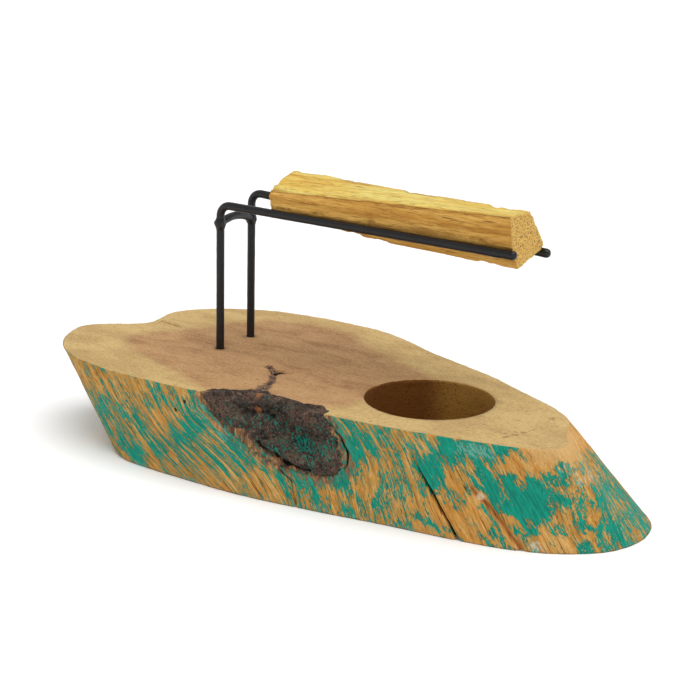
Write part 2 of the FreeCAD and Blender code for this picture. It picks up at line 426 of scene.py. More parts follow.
KNOT_REACH = 20.0  # the farthest that distances from the knot are measured
KNOT_MARGIN = (3, 0, 2)  # how far out from the knot's box the fibres part
KNOT_BACK = -25  # fibres behind this y do not part
PUSH_LEFT, PUSH_RIGHT = 0.3, 0.2  # how strongly they part
SWEEP, SWEEP_AT, SWEEP_REACH = 13, -22, 30  # extra lean of the fibres left of the knot
RIPPLE = 2.6  # from one ripple of callus to the next
NO_BARK, FAR = -20.0, 30  # distances that count as away from everything

Groove = namedtuple("Groove", "line width depth wobble fade_in", defaults=(0.25, 0.0))
CHECK_CRACK = Groove(
    [(47, -43.1, 29.1), (53, -42, 18.4), (56.2, -41.4, 13.5), (64.2, -40, 0.9), (64.8, -39.9, 0)],
    width=1.25, depth=2.4, wobble=0.15, fade_in=0.3,
)
FINE_CHECK = Groove([(61.9, -40.1, 25), (64, -39.7, 21), (67.3, -39.1, 14.9)], 0.75, 0.5, fade_in=0.3)
SCAR_GROOVE = Groove(
    [(66, -39.2, 21), (69, -38.6, 16.1), (73.1, -37.6, 12.9), (82.9, -35.2, 1.9), (84, -35, 0.3)],
    width=2.0, depth=0.8, fade_in=0.25,
)
KNOT_SEAM = Groove([(4.8, -49.1, 11.4), (8.4, -48.7, 8.2), (9.2, -48.7, 5.1), (10.6, -48.7, 0.4)], 1.1, 0.9)
TOP_CREVICE = Groove(
    [
        (-9.6, -41.5, 32), (-11.7, -37.5, 32), (-13.2, -34.6, 32), (-14.5, -28.6, 32),
        (-17.6, -24, 32), (-19.2, -20.8, 32), (-22, -18, 32), (-25.7, -15.7, 32),
    ],
    width=2.3, depth=0.9, wobble=0.5,
)
CREVICE_MOUTH = Groove(TOP_CREVICE.line[:3], width=4.2, depth=0.9, wobble=0.6)
BACK_CHECK = Groove(
    [(-94.5, 4.2, 32), (-91.3, 5.1, 32), (-84, 3.9, 32), (-80.5, 3.2, 32)], width=0.9, depth=0.7, wobble=0.3,
)
# Only a smudge, with no depth.
TOP_CHECK = Groove(
    [(72.5, -30.8, 32), (75.4, -24, 32), (76.9, -16.6, 32), (76.2, -9, 32), (76.3, 0, 32)],
    width=1.5, depth=0.0, wobble=0.9,
)
BACK_CRACK_AT, BACK_CRACK_WIDTH, BACK_CRACK_DEPTH = 22, 0.55, 1.6  # a crack along the grain behind
HOLE, HOLE_SIZE, HOLE_DEPTH = (-19.6, -18.4), (3.3, 1.8), 2.6
PITS = [(-31.5, -52.9, 27.4), (-35.2, -53, 23.9), (-60, -51, 19), (96.9, -22.9, 12), (88, -33, 22)]
PIT_SIZE, PIT_DEPTH = 0.75, 0.6
SCAR = (70.9, -38.1, 15.1)
PINK_MARKS, PINK_SPREAD = [(-56.3, -1), (-56.4, 19.9)], 0.5
# The outline of the dark bark, in x and z, as seen from the front.
BARK_OUTLINE = [
    (-24, 33), (18.5, 33), (20.5, 31), (22, 28), (24.5, 22.5), (26, 17.5), (25.5, 13.5), (23, 12), (14, 12.5),
    (8, 13.2), (2, 15.5), (-3, 17.8), (-7.5, 19.8), (-10, 22.5), (-15, 22.8), (-19, 25), (-22, 28.5),
]

# The outline of the bark where it reaches over the top face, in x and y.
BARK_TOP = [
    (-27, -60), (-24.5, -47.5), (-21.5, -45.2), (-16.5, -42.8), (-13.7, -38), (-13.9, -35.4), (-10.5, -36.8),
    (-6.2, -39.5), (2.5, -39.7), (7.5, -41), (10, -39.6), (14, -39.2), (18, -42.2), (20, -60),
]
# Lines on the top face that need fine points, and how much farther away each counts as.
TOP_LINES = ((TOP_CREVICE.line, 0), (TOP_CHECK.line, 3), (BACK_CHECK.line, 3), (BARK_TOP, 1.5))

pocket_mount = next(m for m in frame["record"]["mounts"] if m["name"] == "candle_pocket")
wood_tree = node_tree("wooden_base")
bark_tree = node_tree("knot_bark")


def slice_middles():
    """Middle of the slab's bottom and top outlines: the log leans, so they differ."""
    corners = node_points("wooden_base")
    found = []
    for height in (0, TOP):
        ring = corners[np.abs(corners[:, 2] - height) < SKIN]
        found.append((ring.min(axis=0) + ring.max(axis=0)) / 2)
    return found


def lean(x):
    """How far along the slab a fibre goes from the top face to the bottom one."""
    return np.interp(x, *LEAN_ALONG)


def grain_places(places):
    """Places in the log's own directions: where the fibre meets the top face, and the height."""
    down = (TOP - places[:, 2]) / TOP
    x = places[:, 0] - lean(places[:, 0]) * down
    y = places[:, 1] - LEAN_ACROSS * down
    return np.stack([x, y, places[:, 2]], axis=1)


def grain_grid():
    """The slab's side: one row of points per level, top first, one column per grain line."""
    bottom_middle, top_middle = slice_middles()

    def hit(height, angle):
        middle = bottom_middle + (top_middle - bottom_middle) * height / TOP
        outward = np.array([math.cos(angle), math.sin(angle), 0])
        start = middle + (SLAB_HIGH[0] - SLAB_LOW[0]) * outward
        return np.array(wood_tree.ray_cast(Vector((*start[:2], height)), Vector(-outward))[0])

    probe = np.linspace(0, TURN, PROBES, endpoint=False)
    rims = [np.array([hit(height, angle) for angle in probe]) for height in (TOP - SKIN, TOP / 2)]
    steps = [np.linalg.norm(np.roll(rim, -1, axis=0) - rim, axis=1) for rim in rims]
    probe = np.append(probe, TURN)
    from_crack = np.linalg.norm(rims[1] - np.array(CHECK_CRACK.line[1]), axis=1)
    wanted = (steps[0] + steps[1]) / 2 * (1 + MORE_AT_CRACK * hump(from_crack, CRACK_REACH))
    length = np.concatenate([[0], np.cumsum(wanted)])
    angles = np.interp(np.linspace(0, length[-1], GRAIN_LINES, endpoint=False), length, probe)
    levels = np.linspace(TOP - SKIN, SKIN, LEVELS)
    return np.array([[hit(height, angle) for angle in angles] for height in levels])


def rounded_rows(grid):
    """The side's rows with a small round edge at the top and the bottom."""
    inward = grid.mean(axis=(0, 1)) - grid[0]
    inward[:, 2] = 0
    inward /= np.linalg.norm(inward, axis=1)[:, None]
    radius = EDGE_ROUND + WORN_ROUND * ease(grid[0][:, 0], *WORN_FROM_TO)
    turns = np.radians(EDGE_STEPS)
    rows = []
    for turn in turns:
        row = grid[0] + inward * (radius * (1 - math.sin(turn)))[:, None]
        row[:, 2] = TOP - radius * (1 - math.cos(turn))
        rows.append(row)
    for row in grid[2:-2]:
        sunk = row.copy()
        sunk[:, 2] = np.minimum(row[:, 2], TOP - radius * 1.02 - 0.001 * (TOP - row[:, 2]))
        rows.append(sunk)
    for turn in turns[::-1]:
        row = grid[-1] + inward * (EDGE_ROUND * (1 - math.sin(turn)))
        row[:, 2] = EDGE_ROUND * (1 - math.cos(turn))
        rows.append(row)
    return np.array(rows)


def leg_foot(rod):
    """Where a rod's leg ends inside the slab."""
    corners = node_points(rod)
    foot = corners[corners[:, 2] < corners[:, 2].min() + FOOT_SLICE]
    return (foot.min(axis=0) + foot.max(axis=0)) / 2


def circle(middle, radius, count, height):
    angles = np.linspace(0, TURN, count, endpoint=False)
    ring = np.stack([np.cos(angles), np.sin(angles)], axis=1) * radius + np.array(middle[:2])
    return np.hstack([ring, np.full((count, 1), height)])


def well(sheet, middle, radius, bottom, count, rows, kind):
    """A round hole in the top face down to bottom. Returns its rim's point numbers."""
    heights = TOP - (TOP - bottom) * np.linspace(0, 1, rows)
    wall = [sheet.add(circle(middle, radius, count, height)) for height in heights]
    floor = [sheet.add(circle(middle, radius * share, count, bottom)) for share in WELL_RINGS]
    sheet.rows([w[::-1] for w in wall + floor], kind)
    centre = sheet.add([[middle[0], middle[1], bottom]])[0]
    sheet.fan(floor[-1][::-1], centre, kind)
    return wall[0]


def scattered(rings, from_detail):
    """Points to fill the top face with, closer together where there is detail, and clear of its edges."""
    random = np.random.default_rng(5)
    edge = KDTree(sum(len(ring) for ring in rings))
    for number, place in enumerate(np.vstack(rings)):
        edge.insert((place[0], place[1], 0), number)
    edge.balance()
    found = []
    for step, close in ((COARSE_STEP, False), (FINE_STEP, True)):
        x, y = np.meshgrid(*(np.arange(SLAB_LOW[i], SLAB_HIGH[i], step) for i in (0, 1)))
        x = x + step / 2 * (np.arange(len(x)) % 2)[:, None]
        places = np.stack([x.ravel(), y.ravel()], axis=1)
        places += random.uniform(-SHAKE, SHAKE, places.shape) * step
        places = places[(from_detail(places) <= DETAIL_REACH) == close]
        for hole in rings[1:]:
            places = places[inside(places, hole) < 0]
        found += [p for p in places if edge.find((p[0], p[1], 0))[2] > step * EDGE_CLEAR]
    return found


def from_marks(flat):
    """How far places on the top face are from the cracks and marks on it."""
    gaps = [to_line(flat, np.array(line)[:, :2])[0] + spare for line, spare in TOP_LINES]
    gaps += [np.linalg.norm(flat - np.array(mark), axis=1) + MARK_SPARE for mark in PINK_MARKS]
    return np.min(gaps, axis=0)


def base_mesh():
    """The slab: grain-aligned side, top with its wells, and underside."""
    sheet = Sheet()
    side = sheet.add(rounded_rows(grain_grid()))
    sheet.rows(side, SIDE)
    middle = np.array(pocket_mount["pos_m"]) / MM
    pocket = pocket_mount["dims"]
    pocket_rim = well(sheet, middle, pocket["r_mm"], TOP - pocket["length_mm"], *POCKET_GRID, WELL)
    feet = [leg_foot("front_rod"), leg_foot("rear_rod")]
    sockets = [well(sheet, foot, SOCKET_RADIUS, foot[2] - SOCKET_SPARE, *SOCKET_GRID, WELL) for foot in feet]
    rings = [side[0], pocket_rim, *sockets]
    ring_places = [np.array(sheet.points)[ring][:, :2] for ring in rings]
    sheet.plane(rings, scattered(ring_places, from_marks), TOP, FACE, True)
    sheet.plane([side[-1]], [], 0.0, FACE, False)
    mesh = sheet.mesh("painted_wood_base")
    on_side = (np.arange(len(mesh.vertices)) < side.size).astype(float)
    return mesh, on_side


def knot_gap(places):
    """How far each place is from the bark of the knot, up to KNOT_REACH."""
    found = np.full(len(places), KNOT_REACH)
    low, high = node_box("knot_bark")
    near = np.all((places > low - KNOT_REACH) & (places < high + KNOT_REACH), axis=1)
    found[near] = [min(KNOT_REACH, bark_tree.find_nearest(Vector(p))[3]) for p in places[near]]
    return found


def round_the_knot(grain, places):
    """Grain places pushed aside by the knot, as fibres flow round it."""
    low, high = node_box("knot_bark")
    middle, half = (low + high) / 2, (high - low) / 2 + np.array(KNOT_MARGIN)
    away = (places - middle) / half
    share = np.maximum(away[:, 0] ** 2 + away[:, 2] ** 2, 1.0)
    push = (places[:, 0] - middle[0]) * ease(share, 5, 1) / share * (places[:, 1] < KNOT_BACK)
    bent = grain.copy()
    bent[:, 0] -= np.where(push < 0, PUSH_LEFT, PUSH_RIGHT) * push
    down = (TOP - places[:, 2]) / TOP
    bent[:, 0] -= SWEEP * hump(places[:, 0] - SWEEP_AT, SWEEP_REACH) * down * (places[:, 1] < 0)
    return bent


def side_relief(places, grain, gap):
    """How proud the weathered side stands, in millimetres: fibres, swells, and the callus round the knot."""
    long = grain * np.array([1, 1, 0.07])
    relief = 0.24 * layers(long / 2.6, 3, 3) + 0.10 * noise(long / 0.9, 8)
    relief += 0.45 * layers(grain / np.array([16, 16, 26]), 21, 2)
    relief += 0.8 * hump(gap - 2.0, 1.3) * (0.5 + 0.5 * noise(places / 7, 30))
    ripples = 0.4 * ease(places[:, 0], 14, 22) * np.sin(gap * TURN / RIPPLE + 2 * noise(places / 5, 31))
    relief += ripples * np.exp(-gap / 3.5)
    return relief


def cut(places, groove):
    """How deep each place is in a groove: 1 in its middle, 0 away from it."""
    gap, along = to_line(places, groove.line)
    gap = np.maximum(gap + groove.wobble * noise(places / 1.7, 50), 0)
    if not groove.fade_in:
        return hump(gap, groove.width / 2)
    width = groove.width * (0.4 + 0.6 * along)
    return hump(gap, width / 2) * ease(along, -0.01, groove.fade_in)


def spot(places, middle, reach):
    """1 at a place, falling away round it."""
    return hump(np.linalg.norm(places - np.array(middle), axis=1), reach)


def side_marks(places, grain):
    """Grooves and pits in the side: how deep they go, how much painted shade darkens them, and the scar's
    groove alone.
    """
    _, y, z = places.T
    crack, fine, scar, seam = (cut(places, g) for g in (CHECK_CRACK, FINE_CHECK, SCAR_GROOVE, KNOT_SEAM))
    back_gap = np.abs(grain[:, 0] - BACK_CRACK_AT - 0.8 * noise(grain / 5, 55)) + FAR * (y < 10)
    back_gap += FAR * ease(z, 20, 27)
    back_crack = hump(back_gap, BACK_CRACK_WIDTH)
    pits = np.max([spot(places, pit, PIT_SIZE) for pit in PITS], axis=0)
    depth = CHECK_CRACK.depth * crack + FINE_CHECK.depth * fine + SCAR_GROOVE.depth * scar
    depth = depth + KNOT_SEAM.depth * seam + BACK_CRACK_DEPTH * back_crack + PIT_DEPTH * pits
    # painted shade: how near black each crack, check and pit is painted, where shade falls inside it
    dark = np.max([crack, 0.6 * fine, 0.6 * seam, back_crack, pits], axis=0)
    return depth, dark, scar


def top_marks(places):
    """Crevice, hole and checks in the top face: how deep they go, how dark, the hole alone for its painted
    shade, and smudges.
    """
    x, y, _ = places.T
    crevice = np.maximum(cut(places, TOP_CREVICE), cut(places, CREVICE_MOUTH))
    wide = np.hypot((x - HOLE[0]) / HOLE_SIZE[0], (y - HOLE[1]) / HOLE_SIZE[1])
    hole = np.exp(-(wide * (1 + 0.35 * noise(places / 1.3, 61))) ** 3)
    split = cut(places, BACK_CHECK)
    depth = TOP_CREVICE.depth * crevice + HOLE_DEPTH * hole + BACK_CHECK.depth * split
    broken = ease(noise(places / 4, 63), -0.4, 0.3)
    smudge = np.maximum(0.7 * cut(places, TOP_CHECK) * broken, split)
    return depth, np.maximum(crevice, hole), hole, smudge


def within_bark(places):
    """How far inside the ragged outline of the bark each place is, as seen from the front."""
    return inside(places[:, [0, 2]] + 0.9 * pair(places, 2.2, (72, 76), 3), BARK_OUTLINE)


def move_base(mesh, places, normals, on_top, relief, gap):
    """Moves the slab's points out by the relief, ragged beside the bark and torn at the pocket's rim."""
    moved = places + normals * relief[:, None]
    ragged = 0.8 * layers(places / 2.2, 81, 2) * hump(gap, 1.2) * (1 - on_top)
    moved[:, :2] += normals[:, :2] * ragged[:, None]
    moved += torn_rim(places)
    moved[:, 2] = np.maximum(moved[:, 2], 0)
    set_points(mesh, moved)


def make_base():
    mesh, on_side = base_mesh()
    places, normals = surface(mesh)
    gap = knot_gap(places)
    grain = round_the_knot(grain_places(places), places)
    flat = places[:, :2]
    on_top = (places[:, 2] > TOP - 0.01).astype(float)
    x, y, z = places.T
    near_knot = np.abs(x) < 40

    side_depth, side_crack_shade, scar = side_marks(places, grain)
    top_depth, top_dark, hole, smudge = top_marks(places)
    over_edge = inside(flat + 0.5 * pair(places, 1.8, (86, 88), 2), BARK_TOP)
    over_edge = np.where(on_top * (y < -30) * near_knot > 0, over_edge, NO_BARK)
    relief = on_side * side_relief(places, grain, gap)
    relief *= 1 - 0.7 * ease(np.abs(z - TOP / 2), TOP / 2 - 1.2, TOP / 2 - 0.1)
    relief -= on_side * side_depth
    relief -= on_top * top_depth
    relief -= ease(over_edge, -0.3, 1.2) * (0.8 + 0.5 * noise(places / 1.5, 84))
    move_base(mesh, places, normals, on_top, relief, gap)

    front = y < -20
    pink = [np.exp(-np.sum((flat - np.array(mark)) ** 2, axis=1) / PINK_SPREAD) for mark in PINK_MARKS]
    on_front = np.where(front & near_knot, within_bark(places), NO_BARK)
    keep(mesh, "grain", grain)
    keep(mesh, "dark", np.maximum(on_side * side_crack_shade, on_top * top_dark))
    keep(mesh, "hole", on_top * hole)
    keep(mesh, "groove", on_side * scar)
    keep(mesh, "scar", spot(places, SCAR, 1.5))
    keep(mesh, "mark", on_top * smudge)
    keep(mesh, "pink", np.max(pink, axis=0))
    keep(mesh, "knot_gap", gap)
    keep(mesh, "bark", np.where(on_top > 0, over_edge, on_front))
    keep(mesh, "broad", ease(x, 30, 62) * front + 0.5 * (1 - front))
    keep(mesh, "worn", ease(x, 78, 90) * ease(z, 24, 31.5))
    keep(mesh, "heart", inside(flat + 1.6 * pair(places, 9, (70, 71), 1), HEARTWOOD))
    keep(mesh, "paint", patches(places, PAINT_PATCHES) + 0.06 * hump(gap - 3.5, 2.0))
    keep(mesh, "chalk", patches(places, CHALK_PATCHES))
    looks = [side_look(), end_grain_look(), well_look()]
    return show("painted_wood_base", mesh, "base", ["wooden_base"], looks)


def torn_rim(places):
    """Fibres left standing where the drill came out of the grain, as a move of the pocket's rim inwards."""
    middle = np.array(pocket_mount["pos_m"]) / MM
    outward = places - middle
    outward[:, 2] = 0
    reach = np.linalg.norm(outward, axis=1)
    on_rim = (np.abs(reach - pocket_mount["dims"]["r_mm"]) < 0.05) & (places[:, 2] > TOP - TORN_DOWN)
    turn = np.arctan2(outward[:, 1], outward[:, 0])
    torn = 0.15 + 0.85 * hump(turn - TORN_AT, 0.8)
    fibres = np.maximum(0, 0.3 + noise(places * np.array([1.4, 1.4, 0.3]), 66))
    share = on_rim * torn * fibres * ease(places[:, 2], TOP - TORN_DOWN, TOP - 0.4)
    return -TORN_MOST * share[:, None] * outward / np.maximum(reach, 1)[:, None]


# The outline of the heartwood on the top face.
HEARTWOOD = [
    (-90, -19), (-79, -28.5), (-66, -35), (-53, -40), (-32, -47), (-20, -52), (10, -52), (17, -39.5),
    (20.5, -34.5), (21, -26), (30, -12), (26, 6.5), (16, 12.5), (8, 16.2), (-8, 24), (-25, 35.5),
    (-46, 38.5), (-64, 32), (-73, 14), (-80, -4),
]
# Where the paint is thicker or thinner than elsewhere: x, z, reach along x and z, and how much.
PAINT_PATCHES = [
    (84, 13, 6, 7, 0.3), (78, 20, 5, 5, 0.18), (56, 21, 4, 6, 0.16), (69, 29, 9, 3, 0.2),
    (79, 26, 3.5, 5, -0.3), (86, 27, 3.5, 4, -0.26), (38, 14, 9, 9, -0.07), (62, 8, 8, 6, -0.05),
    (90, 6, 5, 6, -0.06), (98, 14, 5, 9, 0.06), (105, 8, 4, 8, 0.06), (32, 27, 4, 5, 0.12),
    (-54, 4, 3.5, 3.5, 0.24), (-70, 12, 4, 8, 0.12), (-80, 26, 8, 5, -0.12), (-60, 29, 10, 3, -0.1),
    (-20, 5, 12, 5, -0.08), (-2, 4, 8, 5, -0.12), (-30, 14, 6, 9, 0.1), (18, 5, 7, 5, -0.06),
    (14, 9.5, 10, 2, 0.04), (-14, 17, 5, 4, 0.14),
]
# Where the paint has faded to chalk: the same five numbers.
CHALK_PATCHES = [
    (69, 29, 9, 3, 0.4), (48, 29, 8, 3, 0.24), (97, 22, 4, 4, 0.4), (93, 27, 4, 3, 0.3),
    (87.6, 2.5, 2, 2, 0.5), (0, 0.5, 200, 1.8, 0.36), (-16, 21, 5, 5, 0.4), (-24, 27, 3, 6, 0.3),
]


def patches(places, spots):
    """The sum of soft spots, each at a place in x and z."""
    cover = np.zeros(len(places))
    for x, z, wide, high, amount in spots:
        cover += amount * np.exp(-((places[:, 0] - x) / wide) ** 2 - ((places[:, 2] - z) / high) ** 2)
    return cover


# ---------------- looks

TAN, ORANGE, BROWN = srgb(210, 162, 90), srgb(200, 140, 60), srgb(104, 60, 24)
TEAL, DEEP_TEAL, CHALKY_TEAL = srgb(0, 150, 124), srgb(0, 122, 102), srgb(118, 172, 154)
SAPWOOD, PALE_SAPWOOD = srgb(187, 156, 102), srgb(204, 174, 116)
HEART, PINK_HEART = srgb(178, 137, 94), srgb(158, 116, 78)
# The first is painted shade, the near black laid into the cracks, pits and the small hole in the top. The
# second is the dark of the bark's pores, and also painted shade in the bark's hollows.
CRACK_SHADE, BARK_PORE_AND_SHADE = srgb(36, 20, 10), srgb(20, 15, 13)


def bark_colour(look, places):
    """Purple-brown bark, clotted dark and full of pores, tinted green here and there; and its height."""
    grit = look.noise(places, 0.6, 3, 0.75)
    broad = look.noise(places, 6, 3, 0.6)
    clots = look.noise(places, 1.5, 4, 0.7, 0.6)
    green = look.noise(places, 3, 4, 0.7)
    colour = look.stained(
        look.ramp(broad, (0.36, srgb(52, 42, 38)), (0.5, srgb(84, 66, 58)), (0.64, srgb(108, 80, 64))),
        (srgb(34, 27, 24), 0.8, clots, 0.5, 0.6),
        (srgb(136, 112, 94), 0.5, clots, 0.44, 0.34),
        (srgb(52, 88, 76), 0.4, green, 0.5, 0.64),
        (srgb(150, 130, 112), 0.5, grit, 0.43, 0.32),
        (BARK_PORE_AND_SHADE, 0.85, grit, 0.54, 0.64),
    )
    return colour, look.total((grit, 0.5), (clots, -0.5))


def callus_colour(look, places):
    """The brownish lip the wood grew round the knot."""
    tone = look.noise(places, (1.5, 1.5, 5), 4, 0.7, 0.4)
    fibre = look.noise(places, (0.4, 0.4, 1.6), 3, 0.7)
    colour = look.ramp(tone, (0.36, srgb(196, 148, 92)), (0.5, srgb(140, 102, 74)), (0.64, srgb(94, 68, 56)))
    return look.stained(colour, (BROWN, 0.7, fibre, 0.5, 0.7))


def side_wood(look, grain, places, fibre, lines):
    """The bare wood of the side: tan and orange, fibrous, browner in the scar and paler where it is worn."""
    tone = look.noise(grain, (2.4, 2.4, 22), 4, 0.6)
    wood = look.stained(
        look.ramp(tone, (0.36, TAN), (0.53, ORANGE), (0.7, srgb(182, 120, 50))),
        (srgb(206, 168, 106), 0.35, look.noise(places, 10, 3), 0.5, 0.7),
        (BROWN, 0.7, fibre, 0.52, 0.72),
        (srgb(240, 206, 146), 0.8, fibre, 0.46, 0.3),
        (srgb(96, 56, 24), 0.8, lines, 0.61, 0.67),
    )
    scar = look.mix(look.window(fibre, 0.42, 0.6), srgb(186, 120, 62), srgb(120, 66, 28))
    worn = look.mix(fibre, srgb(232, 196, 136), srgb(186, 140, 84))
    wood = look.mix(look.kept("groove"), wood, scar)
    return look.mix(look.times(look.kept("worn"), 0.75), wood, worn)


def paint_cover(look, grain, places):
    """How much paint is left on the side: streaks of it, or sheets where "broad" says so."""
    broad = look.kept("broad")
    streak = look.noise(grain, (1.7, 1.7, 13), 6, 0.68, 0.6)
    sheet = look.noise(grain, (4.2, 4.2, 9), 7, 0.66, 0.9)
    return look.total(
        (look.times(streak, look.maths("SUBTRACT", 1.0, broad)), 1.0),
        (look.times(sheet, broad), 1.0),
        (look.noise(grain, (0.55, 0.55, 3.6), 3, 0.7, 0.4), 0.5),
        (look.noise(places, 9, 3), 0.35),
        (look.noise(grain, (0.45, 0.45, 0.9), 2), 0.24),
        (look.kept("paint"), 0.8),
        (look.kept("worn"), -0.16),
        (look.kept("groove"), -0.3),
        (look.kept("scar"), -0.5),
    )


def side_look():
    """Weathered bark-side wood with worn teal paint left along the grain."""
    look = Look("painted_side")
    grain, places = look.kept("grain", vector=True), look.places()
    fibre = look.noise(grain, (0.36, 0.36, 8), 4, 0.75)
    lines = look.noise(grain, (0.6, 0.6, 24), 2, 0.5, 0.3)
    cover = paint_cover(look, grain, places)
    chalk = look.total((look.kept("chalk"), 1.0), (look.noise(grain, (0.8, 0.8, 1.6), 4, 0.75), 1.5))
    wood = look.stained(
        side_wood(look, grain, places, fibre, lines),
        (srgb(84, 126, 78), 0.34, cover, 0.94, 1.07),
        (srgb(196, 200, 180), 0.7, chalk, 1.16, 1.28),
    )
    teal_tone = look.noise(grain, (0.8, 0.8, 5), 4, 0.7)
    teal = look.stained(
        look.mix(look.window(teal_tone, 0.4, 0.58), DEEP_TEAL, TEAL),
        (srgb(20, 90, 76), 0.6, fibre, 0.56, 0.72),
        (CHALKY_TEAL, 0.8, chalk, 1.0, 1.16),
    )

    painted = look.window(cover, 1.058, 1.072)
    unpainted = look.maths("SUBTRACT", 1.0, look.times(painted, 0.9))
    lip = look.total((look.kept("knot_gap"), -1.0), (look.noise(grain, (1.8, 1.8, 6), 4, 0.7), 7.0))
    torn = look.total((look.kept("bark"), 1.0), (look.noise(places, 0.9, 3, 0.7), 3.0))
    # painted shadow: darker along the bottom edge, where the base stands on the floor
    low = look.node("SeparateXYZ", {0: places}).outputs["Z"]
    floor_contact_shade = look.total((low, 1.0), (look.noise(places, 2, 3), 0.9))
    bark, _ = bark_colour(look, places)
    colour = look.stained(
        look.mix(painted, wood, teal),
        (srgb(216, 188, 156), 1.0, look.kept("scar"), 0.35, 0.75),
        (callus_colour(look, places), unpainted, lip, 0.2, 1.8),
        (bark, 1.0, torn, 1.4, 2.0),
        # painted shade down the cracks, checks and pits
        (CRACK_SHADE, 1.0, look.kept("dark"), 0.3, 0.7),
        # painted shadow along the bottom edge
        (srgb(70, 62, 46), 0.65, floor_contact_shade, 0.95, 0.5),
    )
    height = look.total((fibre, -0.6), (painted, 0.3), (lines, -0.3))
    return look.finish(colour, look.between(painted, 0.85, 0.62), height, 0.4, 0.18)


def end_grain_look():
    """The sawn faces: pale sapwood round pinkish heartwood, with faint rings and saw marks."""
    look = Look("sawn_face")
    places = look.places()
    blotch = look.noise(places, (20, 9, 9), 5, 0.62)
    sap = look.mix(look.window(blotch, 0.36, 0.62), SAPWOOD, PALE_SAPWOOD)
    figure = look.noise(places, (18, 8, 9), 5, 0.6, 0.6)
    heart = look.ramp(figure, (0.34, PINK_HEART), (0.5, HEART), (0.68, srgb(190, 149, 104)))
    wander = look.maths("SUBTRACT", look.noise(places, (12, 7, 9), 5, 0.6), 0.5)
    heart_edge = look.total((look.kept("heart"), 1.0), (wander, 10.0))
    ring_place = look.total((look.kept("heart"), 0.8), (look.noise(places, (30, 20, 20), 3), 6.0))
    rings = look.noise(look.node("CombineXYZ", {"X": ring_place}).outputs[0], 1, 3, 0.7)
    pores = look.noise(places, (1.1, 0.5, 0.7), 3, 0.8)
    streaks = look.noise(places, (9, 0.8, 1), 4, 0.7, 0.4)
    flecks = look.noise(places, (2.6, 1.3, 1), 3, 0.6, 0.5)
    grit = look.noise(places, 0.9, 3, 0.7)
    smudge = look.total((look.kept("mark"), 1.0), (grit, 0.7))
    ragged = look.total((look.kept("dark"), 1.0), (grit, 0.7))
    crumbs = look.window(look.noise(places, 0.7, 3, 0.7), 0.42, 0.58)
    crust = look.mix(crumbs, srgb(58, 42, 32), srgb(140, 114, 90))
    bark, _ = bark_colour(look, places)
    colour = look.stained(
        sap,
        (heart, 1.0, heart_edge, -2.5, 4.0),
        (srgb(140, 98, 60), 0.3, rings, 0.5, 0.72),
        (srgb(132, 94, 56), 0.5, pores, 0.5, 0.7),
        (srgb(228, 200, 148), 0.45, pores, 0.48, 0.3),
        (srgb(138, 98, 60), 0.25, streaks, 0.54, 0.72),
        (srgb(112, 76, 48), 0.55, flecks, 0.64, 0.7),
        (srgb(112, 84, 54), 0.8, smudge, 0.55, 1.3),
        (srgb(196, 84, 88), 1.0, look.kept("pink"), 0.3, 0.8),
        (srgb(120, 82, 56), 0.5, ragged, 0.42, 0.7),
        (crust, 1.0, ragged, 0.68, 0.82),
        # painted shade in the small hole in the top
        (CRACK_SHADE, 1.0, look.kept("hole"), 0.3, 0.7),
        (bark, 1.0, look.kept("bark"), -0.2, 0.2),
    )
    saw = look.noise(places, (30, 0.9, 1), 2, 0.5, 0.3)
    return look.finish(colour, 0.82, look.total((pores, 0.5), (saw, 0.5)), 0.25, 0.15)


def well_look():
    """Drilled wood, darker than the sawn face and scored round by the bit."""
    look = Look("drilled_wood")
    places = look.places()
    scores = look.noise(places, (6, 6, 0.35), 3, 0.6)
    crumbs = look.noise(places, (0.7, 0.7, 0.5), 3, 0.7)
    heart = look.mix(scores, srgb(96, 56, 20), srgb(138, 88, 36))
    colour = look.stained(
        look.mix(scores, srgb(150, 108, 44), srgb(186, 142, 70)),
        (heart, 1.0, look.kept("heart"), -8.0, 4.0),
        (srgb(70, 40, 14), 1.0, crumbs, 0.52, 0.72),
    )
    return look.finish(colour, 0.85, look.total((scores, 0.6), (crumbs, 0.6)), 0.4, 0.15)


def bark_look():
    """Rough bark with flecks of teal along the grain and a brown scrape, going over to callus at its rim,
    with painted shade in its hollows.
    """
    look = Look("bark")
    places = look.places()
    bark, height = bark_colour(look, places)
    scrape = look.total((look.kept("scrape"), 1.0), (look.noise(places, (0.8, 0.8, 1.4), 3, 0.7), 0.8))
    rim = look.total((look.kept("rim"), 1.0), (look.noise(places, 1.2, 3, 0.7), 2.4))
    flecks = look.total(
        (look.noise(look.kept("grain", vector=True), (0.7, 0.7, 3.2), 4, 0.7), 0.7),
        (look.noise(places, 0.6, 2), 0.35),
        (look.kept("teal"), 0.5),
    )
    colour = look.stained(
        bark,
        # painted shade: near black wherever the bark's relief dips, in the split and the hollows
        (BARK_PORE_AND_SHADE, 1.0, look.kept("relief"), 0.0, -0.9),
        (srgb(158, 98, 60), 0.85, scrape, 0.75, 1.1),
        (callus_colour(look, places), 1.0, rim, 1.5, 0.7),
        (srgb(14, 132, 114), 1.0, flecks, 0.615, 0.64),
    )
    return look.finish(colour, 0.9, height, 0.7, 0.15)


def rod_look():
    """Black paint on steel wire, satin, and glossier where it pooled."""
    look = Look("black_paint")
    places = look.places()
    peel = look.noise(places, 0.9, 2, 0.5)
    dust = look.noise(places, 5, 4, 0.6)
    colour = look.mix(dust, srgb(13, 12, 13), srgb(30, 29, 30))
    rough = look.maths("SUBTRACT", look.between(dust, 0.3, 0.46), look.times(look.kept("gloss"), 0.2))
    return look.finish(colour, rough, peel, 0.06, 0.3)


